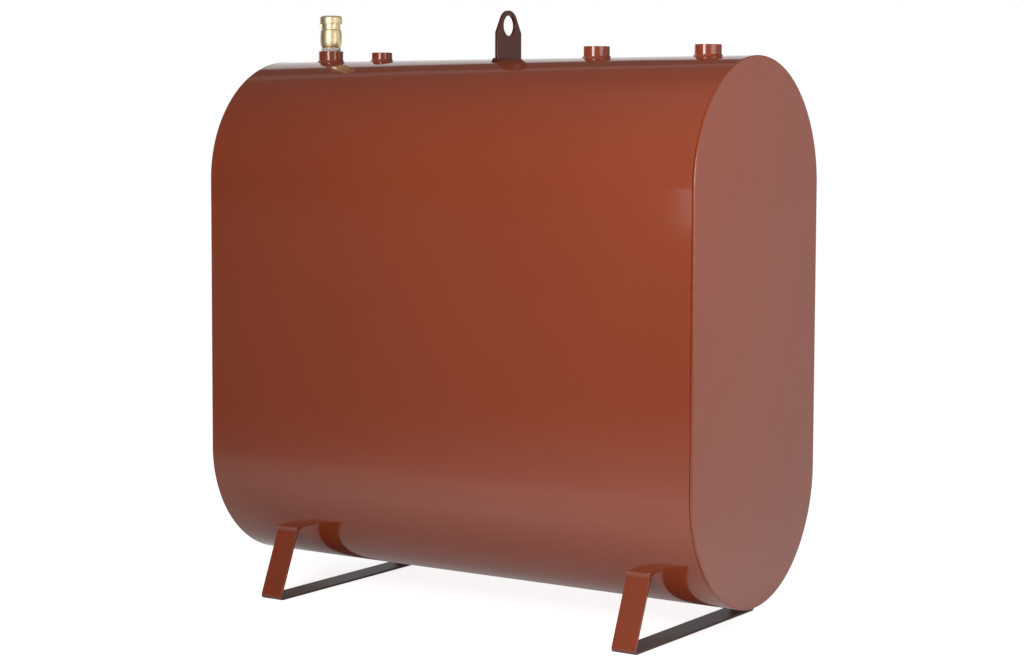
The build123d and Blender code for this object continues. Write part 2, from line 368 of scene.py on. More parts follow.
def soft_curve(points, steps=6):
    """More points, along a soft curve through the given ones."""
    points = [Vector(point) for point in points]
    padded = [points[0], *points, points[-1]]
    curve = [points[0]]
    for before, first, second, after in zip(padded, padded[1:], padded[2:], padded[3:]):
        handles = first + (second - before) / 6, second - (after - first) / 6
        curve += interpolate_bezier(first, *handles, second, steps + 1)[1:]
    return curve


def turned(name, centre, profile, steps):
    """A profile of (radius, height) points, spun about an upright axis."""
    places = [centre + Vector((radius, 0, height)) for radius, height in profile]
    piece = open_line(name, places)
    bpy.ops.mesh.spin(steps=steps, angle=math.tau, center=centre, axis=(0, 0, 1))
    clean_open_mesh()
    return piece


def twin(piece, name, turn=(1, 1, 1), shift=(0, 0, 0)):
    """A copy with its own mesh, mirrored by the signs of a turn and then moved."""
    only(piece)
    copy = piece.copy()
    copy.data = piece.data.copy()
    copy.name = copy.data.name = name
    scene.collection.objects.link(copy)
    copy.scale = turn
    copy.location = shift
    only(copy)
    bpy.ops.object.transform_apply(location=True, rotation=True, scale=True)
    bpy.ops.object.mode_set(mode="EDIT")
    bpy.ops.mesh.select_all(action="SELECT")
    bpy.ops.mesh.normals_make_consistent(inside=False)
    bpy.ops.object.mode_set(mode="OBJECT")
    return copy


def swell_ripples(piece, path_place, step, height, inside=None):
    """Raise a bead's rings a little at even steps, as the weld pool leaves them."""

    def on_crest(vertex):
        ring = round(path_place(vertex.co) / step)
        return ring % steps_per_ripple == 0 and (inside is None or not inside(vertex.co))

    pick(piece, on_crest)
    bpy.ops.transform.shrink_fatten(value=height)


def roughen(seed, offset):
    """Move the open mesh's points by a small random amount, the same on every run."""
    bpy.ops.mesh.select_all(action="SELECT")
    bpy.ops.transform.vertex_random(offset=offset, uniform=0.3, normal=0.0, seed=seed)


def displace_softly(piece, name, size, strength):
    """Push a surface in and out by a soft cloud pattern."""
    clouds = bpy.data.textures.new(name, "CLOUDS")
    clouds.noise_scale = size
    clouds.noise_depth = 1
    apply_modifier(
        piece,
        "DISPLACE",
        texture=clouds,
        texture_coords="LOCAL",
        direction="NORMAL",
        mid_level=0.5,
        strength=strength,
    )


def cut_away(piece, cutter, operation="DIFFERENCE"):
    """Cut one closed mesh out of another, and drop the cutter."""
    apply_modifier(piece, "BOOLEAN", operation=operation, solver="EXACT", object=cutter)
    bpy.data.objects.remove(cutter)


def obround_place(point):
    """How far round the tank's outline a point lies."""
    y, z = point.y, point.z
    if abs(z - middle_z) <= side_height / 2:
        run = z - middle_z
        return run if y > 0 else math.pi * round_radius + side_height - run
    axis_z = crown_axis_z if z > middle_z else belly_axis_z
    angle = math.atan2(z - axis_z, y)
    if z > middle_z:
        return side_height / 2 + angle * round_radius
    return -side_height / 2 + angle * round_radius


def part_halves(piece):
    """Move the halves of a round mesh apart, up and down, to make it obround."""
    pick(piece, lambda vertex: vertex.co.z > middle_z)
    bpy.ops.transform.translate(value=(0, 0, side_height / 2))
    pick(piece, lambda vertex: vertex.co.z < middle_z)
    bpy.ops.transform.translate(value=(0, 0, -side_height / 2))


def is_long_upright(edge, length):
    """Whether an edge is longer than a length and stands nearly upright."""
    first, second = (vertex.co for vertex in edge.verts)
    rise = abs(second.z - first.z)
    return rise > length and rise > 0.9 * (second - first).length


def run_along_x(edge):
    """How far an edge runs along the tank."""
    return abs(edge.verts[0].co.x - edge.verts[1].co.x)


def shell_wrap(finish):
    """The wrapped sheet, one obround tube, a little wavy, with its socket holes."""
    half_step = math.pi / round_steps
    piece = open_piece(
        "shell_wrap",
        bpy.ops.mesh.primitive_circle_add,
        vertices=round_steps,
        radius=round_radius,
        location=(-shell_half, 0, middle_z),
        rotation=(half_step, math.pi / 2, 0),
    )
    part_halves(piece)
    bpy.ops.mesh.select_all(action="SELECT")
    bpy.ops.mesh.extrude_region_move(TRANSFORM_OT_translate={"value": (2 * shell_half, 0, 0)})
    pick(piece, lambda edge: is_long_upright(edge, 0.5), "edges")
    bpy.ops.mesh.subdivide(number_cuts=15)
    pick(piece, lambda edge: run_along_x(edge) > 1.9 * shell_half, "edges")
    bpy.ops.mesh.subdivide(number_cuts=31)
    clean_open_mesh()
    displace_softly(piece, "oil_canning", 0.3, oil_canning)
    apply_modifier(piece, "SOLIDIFY", thickness=sheet, offset=-1.0, use_even_offset=True)
    for name in ("filler", "vent", "gauge", "suction"):
        low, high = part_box(f"{name}_socket")
        bpy.ops.object.select_all(action="DESELECT")
        bpy.ops.mesh.primitive_cylinder_add(
            vertices=96,
            radius=(high.y - low.y) / 2 + 0.1 * mm,
            depth=60 * mm,
            location=((low.x + high.x) / 2, 0, crown_top_z),
        )
        cut_away(piece, bpy.context.object)
    return finished(
        piece,
        finish,
        "red_oxide_paint",
        "shell_crown_strip",
        "shell_crown_front",
        "shell_crown_back",
        "shell_front_side",
        "shell_back_side",
        "shell_belly",
    )


def head_bead(finish, side, seed):
    """The rippled corner bead round one head."""
    name = "right" if side > 0 else "left"
    steps = int(round(math.tau * round_radius / bead_step))
    centre = (0, 0, middle_z)
    # points in millimetres: in from the head's outer face, and down from the shell's outside
    profile = (
        (7.6, 1.8),
        (6.6, 0.4),
        (5.4, 0.03),
        (4.4, -0.08),
        (3.2, -0.12),
        (2.0, -0.08),
        (1.1, 0.12),
        (0.45, 0.55),
        (0.05, 1.2),
        (-0.12, 2.2),
        (-0.1, 3.4),
        (0.1, 4.4),
        (1.2, 5.6),
        (6.0, 6.0),
        (7.6, 1.8),
    )
    half_turn = math.pi / steps

    def ring_place(point):
        inward, down = point
        radius = round_radius - down * mm
        height = middle_z + radius * math.sin(half_turn)
        return Vector((side * (end_x - inward * mm), radius * math.cos(half_turn), height))

    piece = open_line(f"head_bead_{name}", [ring_place(point) for point in profile])
    bpy.ops.mesh.spin(steps=steps, angle=math.tau, center=centre, axis=(1, 0, 0))
    clean_open_mesh()
    part_halves(piece)
    pick(piece, lambda edge: is_long_upright(edge, 0.5), "edges")
    bpy.ops.mesh.subdivide(number_cuts=23)
    pick(piece, lambda edge: is_long_upright(edge, 0.01), "edges")
    bpy.ops.mesh.subdivide(number_cuts=23)

    def buried(point):
        inward = end_x - abs(point.x)
        return inward > 6.8 * mm

    swell_ripples(piece, obround_place, bead_step, ripple_height, buried)
    roughen(seed, 0.10 * mm)
    displace_softly(piece, f"head_bead_{name}", 12 * mm, 0.4 * mm)
    return finished(
        piece, finish, "red_oxide_paint", f"head_weld_{name}", smooth_angle=75.0
    )


def head_plate(finish, side):
    """A flat end plate, very slightly waved by its welding."""
    name = "right" if side > 0 else "left"
    low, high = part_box(f"head_{name}")
    outer_x = high.x if side > 0 else low.x
    piece = open_piece(
        f"head_plate_{name}",
        bpy.ops.mesh.primitive_grid_add,
        x_subdivisions=56,
        y_subdivisions=56,
        size=1.42,
        location=(outer_x, 0, middle_z),
        rotation=(0, side * math.pi / 2, 0),
    )
    displace_softly(piece, f"head_plate_{name}", 0.35, head_waviness)
    apply_modifier(piece, "SOLIDIFY", thickness=high.x - low.x, offset=-1.0)
    outline = open_piece(
        "head_outline",
        bpy.ops.mesh.primitive_cylinder_add,
        vertices=round_steps,
        radius=high.y,
        depth=40 * mm,
        location=(outer_x, 0, middle_z),
        rotation=(math.pi / round_steps, math.pi / 2, 0),
    )
    part_halves(outline)
    cut_away(piece, outline, "INTERSECT")
    return finished(piece, finish, "red_oxide_paint", f"head_{name}")


def thread_cutter(radius, low_z, high_z, pitch, place):
    """A screwed ridge, to cut an inside thread from its least radius outwards."""
    depth = 0.64 * pitch
    inner, half_width = radius - 0.2 * mm, 0.46 * pitch
    turns = int((high_z - low_z) / pitch) + 2
    start = Vector((place.x, 0, low_z - pitch))
    root, crest = (inner, -half_width), (radius + depth, 0)
    places = [
        start + Vector((across, 0, along))
        for across, along in (root, crest, (inner, half_width), root)
    ]
    piece = open_line("thread_cutter", places)
    only(piece)
    scene.cursor.location = start
    bpy.ops.object.origin_set(type="ORIGIN_CURSOR")
    scene.cursor.location = (0, 0, 0)
    apply_modifier(
        piece,
        "SCREW",
        angle=math.tau,
        screw_offset=pitch,
        iterations=turns,
        steps=48,
        render_steps=48,
        use_merge_vertices=False,
    )
    bpy.ops.object.mode_set(mode="EDIT")
    bpy.ops.mesh.select_all(action="SELECT")
    bpy.ops.mesh.remove_doubles(threshold=fine_merge)
    bpy.ops.mesh.fill_holes(sides=4)
    bpy.ops.mesh.normals_make_consistent(inside=False)
    bpy.ops.object.mode_set(mode="OBJECT")
    return piece


def half_socket(node, bore):
    """A turned half socket with its edges eased, threaded inside."""
    low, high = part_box(node)
    centre = Vector(((low.x + high.x) / 2, 0, 0))
    outer, inner = (high.x - low.x) / 2, bore / 2
    chamfer = 1.2 * mm
    profile = (
        (inner, low.z),
        (outer, low.z),
        (outer, high.z),
        (inner + chamfer, high.z),
        (inner, high.z - chamfer),
        (inner, low.z),
    )
    piece = turned(node.replace("_socket", "_half_socket"), centre, profile, 128)
    round_edges(piece, 0.5 * mm, segments=3)
    cut_away(piece, thread_cutter(inner, low.z, high.z, pipe_thread_pitch, centre))
    return piece


def socket_bead(node, seed):
    """The rippled bead round a socket's foot, bent to the crown."""
    low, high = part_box(node)
    outer = (high.x - low.x) / 2
    leg = 4 * mm
    surface = Vector(((low.x + high.x) / 2, 0, crown_top_z))
    profile = (
        (outer - 0.6 * mm, leg + 1.2 * mm),
        (outer + 0.3 * mm, leg + 0.2 * mm),
        (outer + 1.3 * mm, leg - 0.9 * mm),
        (outer + 2.5 * mm, leg - 2.0 * mm),
        (outer + 3.6 * mm, leg - 3.2 * mm),
        (outer + 4.6 * mm, leg - 4.2 * mm),
        (outer + 5.4 * mm, leg - 5.4 * mm),
        (outer - 0.6 * mm, leg - 5.4 * mm),
        (outer - 0.6 * mm, leg + 1.2 * mm),
    )
    steps = 288
    piece = turned(f"{node}_bead", surface, profile, steps)
    ripple = math.tau / steps

    def place_round(point):
        return math.atan2(point.y - surface.y, point.x - surface.x)

    def at_foot(point):
        return (point.xy - surface.xy).length < outer or point.z < surface.z - 0.5 * mm

    swell_ripples(piece, place_round, ripple, ripple_height, at_foot)
    roughen(seed, 0.12 * mm)
    displace_softly(piece, f"{node}_bead", 9 * mm, 0.7 * mm)
    return bent_to_crown(piece, surface)


def bent_to_crown(piece, surface):
    """Bend a flat piece down on both sides of the crown line."""
    only(piece)
    scene.cursor.location = surface
    bpy.ops.object.origin_set(type="ORIGIN_CURSOR")
    scene.cursor.location = (0, 0, 0)
    # the bend runs along the piece's own x, so its mesh is turned that way and back
    lay = Matrix(((0, 1, 0), (0, 0, 1), (1, 0, 0))).to_4x4()
    piece.data.transform(lay)
    width = max(point.co.x for point in piece.data.vertices) * 2
    apply_modifier(
        piece,
        "SIMPLE_DEFORM",
        deform_method="BEND",
        deform_axis="Z",
        angle=-width / round_radius,
    )
    piece.data.transform(lay.inverted())
    return piece


def lug_plate(finish):
    """The lifting lug: shoulders and an eye on a plate, its foot cut to the crown."""
    low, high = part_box("lifting_lug")
    middle_x, thick, half_width = (low.x + high.x) / 2, high.x - low.x, high.y
    eye_outer, eye_hole, shoulder = 40 * mm, 27 * mm, 69 * mm
    eye_z = high.z - eye_outer
    across = {"rotation": (0, math.pi / 2, 0)}
    piece = open_piece(
        "lifting_eye_plate",
        bpy.ops.mesh.primitive_cylinder_add,
        vertices=128,
        radius=eye_outer,
        depth=thick,
        location=(middle_x, 0, eye_z),
        **across,
    )
    foot_z = crown_top_z - 20 * mm
    body_high = crown_top_z + shoulder
    bpy.ops.mesh.primitive_cube_add(
        size=1.0,
        location=(middle_x, 0, (foot_z + body_high) / 2),
        scale=(thick, 2 * half_width, body_high - foot_z),
    )
    bpy.ops.mesh.select_all(action="SELECT")
    bpy.ops.mesh.convex_hull()
    bpy.ops.mesh.dissolve_limited(angle_limit=math.radians(0.5))
    only(piece)
    for radius, depth, height in (
        (eye_hole, 3 * thick, eye_z),
        (round_radius, 3 * thick, crown_axis_z),
    ):
        bpy.ops.object.select_all(action="DESELECT")
        bpy.ops.mesh.primitive_cylinder_add(
            vertices=round_steps,
            radius=radius,
            depth=depth,
            location=(middle_x, 0, height),
            **across,
        )
        cut_away(piece, bpy.context.object)
    round_edges(piece, 0.9 * mm, segments=3)
    return finished(piece, finish, "red_oxide_paint", "lifting_lug", flat_faces=True)


def lug_bead(finish, seed):
    """The bead round the lug's foot, sloped down past the plate's edges."""
    low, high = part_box("lifting_lug")
    bead_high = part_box("lug_weld")[1]
    middle_x, half_thick, edge_y = (low.x + high.x) / 2, (high.x - low.x) / 2, high.y
    leg = bead_high.x - high.x
    toe_y = bead_high.y
    # each point is a distance from the plate's middle and a height over the crown
    side_points = (
        (half_thick + leg + 0.9 * mm, -0.9 * mm),
        (half_thick + leg - 0.1 * mm, 0.1 * mm),
        (half_thick + leg * 0.74, leg * 0.30),
        (half_thick + leg * 0.46, leg * 0.60),
        (half_thick + leg * 0.22, leg * 0.84),
        (half_thick + 0.1 * mm, leg * 1.0),
        (half_thick - 1.0 * mm, leg * 1.08),
    )
    other_side = ((-across, up) for across, up in reversed(side_points))
    points = [*side_points, *other_side, side_points[0]]
    sweep = toe_y / round_radius + 1 * mm / round_radius
    start = Matrix.Rotation(sweep, 3, "X")
    axis = Vector((middle_x, 0, crown_axis_z))
    places = [
        axis + start @ Vector((across, 0, round_radius + up)) for across, up in points
    ]
    steps = int(2 * sweep * round_radius / bead_step)
    piece = open_line("lug_bead", places)
    bpy.ops.mesh.spin(steps=steps, angle=2 * sweep, center=axis, axis=(-1, 0, 0))
    edge_z = crown_axis_z + math.sqrt((round_radius + leg) ** 2 - edge_y**2)
    toe_z = crown_axis_z + math.sqrt(round_radius**2 - toe_y**2)
    for end in (-1, 1):
        bpy.ops.mesh.select_all(action="SELECT")
        bpy.ops.mesh.bisect(
            plane_co=(middle_x, end * toe_y, toe_z),
            plane_no=(0, end * (edge_z - toe_z), toe_y - edge_y),
            use_fill=True,
            clear_outer=True,
        )
    clean_open_mesh()
    # towards the fill fitting it stops short of the plate's front edge
    only(piece)
    short = 14 * mm
    bpy.ops.object.select_all(action="DESELECT")
    bpy.ops.mesh.primitive_cube_add(
        size=1.0,
        location=(low.x + 0.6 * mm - leg, -edge_y + short - 50 * mm, crown_top_z),
        scale=(2 * leg, 100 * mm, 60 * mm),
    )
    cut_away(piece, bpy.context.object)
    bpy.ops.object.mode_set(mode="EDIT")

    def place_along(point):
        return math.atan2(point.y, point.z - crown_axis_z) * round_radius

    def inside(point):
        radius = math.hypot(point.y, point.z - crown_axis_z)
        return radius < round_radius or abs(point.x - middle_x) < half_thick

    swell_ripples(piece, place_along, bead_step, ripple_height, inside)
    round_edges(piece, 0.7 * mm, segments=2, angle=38.0)
    bpy.ops.object.mode_set(mode="EDIT")
    roughen(seed, 0.10 * mm)
    displace_softly(piece, "lug_bead", 9 * mm, 0.6 * mm)
    return finished(piece, finish, "red_oxide_paint", "lug_weld", smooth_angle=50.0)


def bent_foot():
    """The right foot: a flat bar bent up at both ends and cut to the belly."""
    low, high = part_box("foot_right")
    half_base, leg_top = high.y, 260 * mm
    top_y = half_base - leg_top * math.tan(leg_lean)
    outline = ((-top_y, leg_top), (-half_base, 0), (half_base, 0), (top_y, leg_top))
    piece = open_line("foot_bar_right", [Vector((low.x, y, z)) for y, z in outline])
    bpy.ops.mesh.extrude_region_move(
        TRANSFORM_OT_translate={"value": (high.x - low.x, 0, 0)}
    )

    def at_bend(edge):
        first, second = (vertex.co for vertex in edge.verts)
        return max(first.z, second.z) < 1 * mm and abs(first.y - second.y) < 1 * mm

    pick(piece, at_bend, "edges")
    half_turn = (math.pi / 2 + leg_lean) / 2
    bpy.ops.mesh.bevel(offset=bend_outer * math.tan(half_turn), segments=12, affect="EDGES")
    pick(piece, lambda face: True, "faces")
    base = min(
        bmesh.from_edit_mesh(piece.data).faces,
        key=lambda face: face.calc_center_median().z,
    )
    if base.normal.z > 0:
        bpy.ops.mesh.flip_normals()
    apply_modifier(piece, "SOLIDIFY", thickness=foot_bar, offset=-1.0, use_even_offset=True)
    bpy.ops.object.select_all(action="DESELECT")
    bpy.ops.mesh.primitive_cylinder_add(
        vertices=round_steps,
        radius=round_radius,
        depth=0.2,
        location=((low.x + high.x) / 2, 0, belly_axis_z),
        rotation=(0, math.pi / 2, 0),
    )
    cut_away(piece, bpy.context.object)
    round_edges(piece, 0.8 * mm, segments=3, angle=35.0)
    return piece


def foot_bead(seed):
    """The bead in the corner between the right foot's front leg and the belly."""
    low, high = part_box("right_front_foot_weld")
    half_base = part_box("foot_right")[1].y
    lean_run = math.tan(leg_lean)
    leg_a = 1 + lean_run**2
    leg_b = half_base * lean_run + belly_axis_z
    leg_c = half_base**2 + belly_axis_z**2 - round_radius**2
    meet_z = (leg_b - math.sqrt(leg_b**2 - leg_a * leg_c)) / leg_a
    meet = Vector((0, meet_z * lean_run - half_base, meet_z))
    axis = Vector((0, 0, belly_axis_z))
    down = Vector((0, -math.sin(leg_lean), -math.cos(leg_lean)))
    foot_low = meet + down * foot_bead_leg
    bead_up = Matrix.Rotation(foot_bead_leg / round_radius, 3, "X")
    belly_high = axis + bead_up.inverted() @ (meet - axis)
    if belly_high.z < meet.z:
        belly_high = axis + bead_up @ (meet - axis)
    chord = foot_low - belly_high
    outward = Vector((0, chord.z, -chord.y)).normalized()
    inward = (axis - meet).normalized()
    section = [belly_high + inward * 1.2 * mm]
    for share in (0.0, 0.14, 0.32, 0.5, 0.68, 0.86, 1.0):
        swell = foot_bead_swell * math.sin(math.pi * share) ** 0.8
        section.append(belly_high + chord * share + outward * swell)
    section.append(foot_low + inward * 1.5 * mm - outward * 0.5 * mm)
    section.append(meet + inward * 2.0 * mm)
    section.append(section[0])
    start = Vector((low.x, 0, 0))
    piece = open_line("right_front_foot_bead", [start + place for place in section])
    bpy.ops.mesh.edge_face_add()
    bpy.ops.mesh.extrude_region_move(
        TRANSFORM_OT_translate={"value": (high.x - low.x, 0, 0)}
    )
    pick(piece, lambda edge: run_along_x(edge) > 10 * mm, "edges")
    rings = 54
    bpy.ops.mesh.subdivide(number_cuts=rings - 1)
    clean_open_mesh()
    for reach, drop in ((0.7 * mm, 1.3 * mm), (2.0 * mm, 0.6 * mm), (3.2 * mm, 0.3 * mm)):
        pick(
            piece,
            lambda vertex: vertex.co.x < low.x + reach or vertex.co.x > high.x - reach,
        )
        bpy.ops.transform.translate(value=inward * drop)
    step = (high.x - low.x) / rings
    swell_ripples(piece, lambda point: point.x - low.x, step, ripple_height)
    roughen(seed, 0.12 * mm)
    displace_softly(piece, "foot_bead", 8 * mm, 0.8 * mm)
    return piece


def feet(finish):
    """Both feet and their four beads, each modelled once and copied."""
    bar = bent_foot()
    other_bar = twin(bar, "foot_bar_left", turn=(-1, 1, 1))
    finished(bar, finish, "red_oxide_paint", "foot_right", flat_faces=True)
    finished(other_bar, finish, "red_oxide_paint", "foot_left", flat_faces=True)
    bead = foot_bead(41)
    copies = {
        "right_back": twin(bead, "right_back_foot_bead", turn=(1, -1, 1)),
        "left_front": twin(bead, "left_front_foot_bead", turn=(-1, 1, 1)),
        "left_back": twin(bead, "left_back_foot_bead", turn=(-1, -1, 1)),
    }
    copies["right_front"] = bead
    for corner, copy in copies.items():
        finished(copy, finish, "red_oxide_paint", f"{corner}_foot_weld", smooth_angle=60.0)


def crown_sockets(finish):
    """The four half sockets and their beads."""
    large = half_socket("gauge_socket", large_bore)
    small = half_socket("vent_socket", small_bore)
    socket_finish = {"smooth_angle": 30.0, "flat_faces": True}
    gauge_low, gauge_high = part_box("gauge_socket")
    gauge_x = (gauge_low.x + gauge_high.x) / 2
    for name in ("filler", "suction"):
        low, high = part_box(f"{name}_socket")
        shift = ((low.x + high.x) / 2 - gauge_x, 0, 0)
        copy = twin(large, f"{name}_half_socket", shift=shift)
        finished(copy, finish, "red_oxide_paint", f"{name}_socket", **socket_finish)
    finished(large, finish, "red_oxide_paint", "gauge_socket", **socket_finish)
    finished(small, finish, "red_oxide_paint", "vent_socket", **socket_finish)
    for seed, name in enumerate(("filler", "vent", "gauge", "suction")):
        bead = socket_bead(f"{name}_socket", 21 + seed)
        finished(bead, finish, "red_oxide_paint", f"{name}_socket_weld", smooth_angle=60.0)


def belly_seam(finish, seed):
    """The bead that closes the wrapped sheet, along the belly's lowest line."""
    low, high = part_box("belly_seam_weld")
    half_width, rise = high.y, belly_low.z - low.z
    bottom = belly_low.z
    outline = (
        (-half_width, 0.6 * mm),
        (-half_width * 0.72, -rise * 0.42),
        (-half_width * 0.3, -rise * 0.92),
        (half_width * 0.3, -rise * 0.92),
        (half_width * 0.72, -rise * 0.42),
        (half_width, 0.6 * mm),
        (-half_width, 0.6 * mm),
    )
    places = [Vector((low.x, y, bottom + z)) for y, z in outline]
    piece = open_line("belly_seam_bead", places)
    bpy.ops.mesh.edge_face_add()
    bpy.ops.mesh.extrude_region_move(
        TRANSFORM_OT_translate={"value": (high.x - low.x, 0, 0)}
    )
    # cut in two goes, as one cut can't make a thousand rings
    coarse_rings, fine_rings = 100, 10
    for length, rings in ((1.0, coarse_rings), (10 * mm, fine_rings)):
        pick(piece, lambda edge: run_along_x(edge) > length, "edges")
        bpy.ops.mesh.subdivide(number_cuts=rings - 1)
    clean_open_mesh()
    step = (high.x - low.x) / (coarse_rings * fine_rings)

    def inside(point):
        return point.z > bottom

    swell_ripples(piece, lambda point: point.x - low.x, step, ripple_height, inside)
    roughen(seed, 0.10 * mm)
    displace_softly(piece, "belly_seam", 12 * mm, 0.5 * mm)
    return finished(piece, finish, "red_oxide_paint", "belly_seam_weld", smooth_angle=60.0)


def fill_fitting(brass, seal):
    """The turned brass fill fitting, its sealing washer and its cap."""
    body_low, body_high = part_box("filler_body")
    seal_low, seal_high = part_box("filler_seal")
    cap_low, cap_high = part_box("filler_cap")
    centre = Vector(((cap_low.x + cap_high.x) / 2, 0, 0))
    shoulder_z, barrel_z, neck_z = seal_low.z, seal_high.z + 0.4 * mm, cap_low.z - 16 * mm
    barrel_height = neck_z - barrel_z
    barrel = soft_curve(
        (
            (24.0 * mm, barrel_z, 0),
            (26.9 * mm, barrel_z + barrel_height * 0.07, 0),
            (29.4 * mm, barrel_z + barrel_height * 0.25, 0),
            (30.1 * mm, barrel_z + barrel_height * 0.5, 0),
            (29.4 * mm, barrel_z + barrel_height * 0.75, 0),
            (28.2 * mm, neck_z - 2.4 * mm, 0),
            (26.4 * mm, neck_z - 0.3 * mm, 0),
        )
    )
    thread, bore, neck = 28.0 * mm, 20.0 * mm, 26.0 * mm
    profile = [
        (thread, body_low.z),
        (thread, shoulder_z - 0.2 * mm),
        (24.0 * mm, shoulder_z),
        *((point.x, point.y) for point in barrel),
        (25.2 * mm, neck_z + 0.1 * mm),
        (25.2 * mm, neck_z + 0.8 * mm),
        (neck, neck_z + 1.4 * mm),
        (neck, body_high.z),
        (bore, body_high.z),
        (bore, body_low.z),
        (thread, body_low.z),
    ]
    body = turned("fill_fitting", centre, profile, 128)
    round_edges(body, 0.4 * mm, segments=2, angle=50.0)

    # a small pierced tab on the neck takes a lock or a lead seal
    tab_angle = math.radians(213.8)
    outward = Vector((math.cos(tab_angle), math.sin(tab_angle), 0))
    tab_middle = centre + Vector((0, 0, cap_low.z - 7 * mm)) + outward * 28 * mm
    bpy.ops.object.select_all(action="DESELECT")
    bpy.ops.mesh.primitive_cube_add(
        size=1.0,
        location=tab_middle,
        rotation=(0, 0, tab_angle),
        scale=(10 * mm, 6 * mm, 5 * mm),
    )
    tab = bpy.context.object
    bpy.ops.object.transform_apply(location=True, rotation=True, scale=True)
    bpy.ops.object.select_all(action="DESELECT")
    bpy.ops.mesh.primitive_cylinder_add(
        vertices=32,
        radius=1.5 * mm,
        depth=20 * mm,
        location=tab_middle + outward * 1.6 * mm,
    )
    cut_away(tab, bpy.context.object)
    round_edges(tab, 0.7 * mm, segments=3)
    only(body)
    tab.select_set(True)
    bpy.ops.object.join()
    finished(body, brass, "brass", "filler_body", smooth_angle=40.0, flat_faces=True)

    inner, outer = 24.0 * mm, seal_high.x - centre.x
    height = seal_high.z - seal_low.z
    washer = turned(
        "thread_seal",
        centre + Vector((0, 0, seal_low.z)),
        [
            (inner, 0),
            (outer - 3.4 * mm, 0),
            (outer - 3.2 * mm, height * 0.22),
            (outer - 1.0 * mm, height * 0.30),
            (outer - 0.1 * mm, height * 0.42),
            (outer - 0.2 * mm, height * 0.66),
            (outer - 1.0 * mm, height * 0.86),
            (outer - 2.2 * mm, height),
            (inner, height),
            (inner, 0),
        ],
        128,
    )
    displace_softly(washer, "thread_seal", 6 * mm, 0.8 * mm)
    finished(washer, seal, "seal", "filler_seal", smooth_angle=50.0)

    lip, radius, rounding = cap_high.x - centre.x, cap_high.x - centre.x - 0.8 * mm, 7 * mm
    height, rim, skirt = cap_high.z - cap_low.z, 16 * mm, 26.4 * mm
    dome = [
        (
            radius - rounding + rounding * math.cos(turn),
            height - rounding + rounding * math.sin(turn),
        )
        for turn in (math.pi / 2 * step / 12 for step in range(13))
    ]
    profile = [
        (skirt, 0),
        (lip, 0),
        (lip, 2.5 * mm),
        (radius, 3.1 * mm),
        *dome,
        (0, height),
        (0, rim),
        (skirt, rim),
        (skirt, 0),
    ]
    cap = turned("fill_cap", centre + Vector((0, 0, cap_low.z)), profile, 128)
    round_edges(cap, 0.6 * mm, segments=3, angle=50.0)
    finished(cap, brass, "brass", "filler_cap", smooth_angle=40.0, flat_faces=True)


def ray_kinds(nodes):
    """Masks of camera rays, and of the rays that gloss and glass send."""
    path = nodes.tree.nodes.new("ShaderNodeLightPath")
    camera, glossy, clear = (
        Value(nodes, path.outputs[f"Is {kind} Ray"])
        for kind in ("Camera", "Glossy", "Transmission")
    )
    return camera, glossy.sum("MAXIMUM", glossy, clear)


def studio_world():
    """White to the camera, a dim room with pale bands to gloss, soft fill to the rest."""
    world = bpy.data.worlds.new("studio")
    scene.world = world
    nodes = NodeTree(world)
    background = nodes.tree.nodes["Background"]
    direction = nodes.add("ShaderNodeTexCoord", {}, {}, output="Generated")
    x, y, z = (
        nodes.add("ShaderNodeSeparateXYZ", {}, {0: direction}, output=axis) for axis in "XYZ"
    )
    # low down behind stands a window, whose upper edge runs down and then up to the right
    falling_edge = 0.395 - (x + 0.505) * 0.78
    rising_edge = nodes.ramp(x + 1.0, (0.495, 0.40), (0.535, 0.44), (0.56, 0.0))
    band_top = falling_edge.sum("MAXIMUM", falling_edge, rising_edge)
    window = nodes.ramp((band_top - z) * 26.0 + 0.5, (0.0, 0.0), (1.0, 0.95))
    # over it the room is dark, with one narrow strip light that leans the same way
    strips = nodes.ramp(
        z + (x + 0.52) * 0.3,
        (0.0, 0.14),
        (0.600, 0.12),
        (0.628, 0.36),
        (0.648, 0.34),
        (0.670, 0.17),
        (0.80, 0.17),
        (1.0, 0.21),
    )
    behind = nodes.ramp(y * 3.0 + 0.2, (0.0, 0.0), (1.0, 1.0))
    front_room = nodes.ramp(z, (0.0, 0.10), (0.3, 0.12), (0.6, 0.15), (1.0, 0.22))
    near_front = nodes.ramp((x + 0.56) * 8.0, (0.0, 0.0), (1.0, 0.30))
    front_room = front_room + near_front
    # further right is a pale wall with a dark gap in it
    pale_wall = nodes.ramp(
        x, (0.34, 0.0), (0.42, 1.0), (0.49, 1.0), (0.52, 0.2), (0.58, 0.2), (0.66, 1.0)
    )
    back_room = window.sum("MAXIMUM", window, strips)
    back_room = pale_wall * 0.74 + (1 - pale_wall) * back_room
    mirrored = behind * back_room + (1 - behind) * front_room
    camera, glossy = ray_kinds(nodes)
    fill = 0.25
    strength = glossy * mirrored + (1 - glossy) * fill
    strength = camera + (1 - camera) * strength
    nodes.feed(background.inputs["Strength"], strength)
    background.inputs["Color"].default_value = (1, 1, 1, 1)


def lamp(name, place, aim, size, radiance, half_spread=None):
    """A rectangular soft lamp with its radiance straight ahead."""
    width, height = size
    light = bpy.data.lights.new(name, "AREA")
    light.shape = "RECTANGLE"
    light.size = width
    light.size_y = height
    light.energy = radiance * width * height * math.pi
    if half_spread:
        light.spread = 2 * half_spread
        light.energy *= 1 - half_spread / math.tan(half_spread)
    holder = bpy.data.objects.new(name, light)
    scene.collection.objects.link(holder)
    holder.location = place
    holder.rotation_euler = (Vector(aim) - Vector(place)).to_track_quat("-Z", "Y").to_euler()


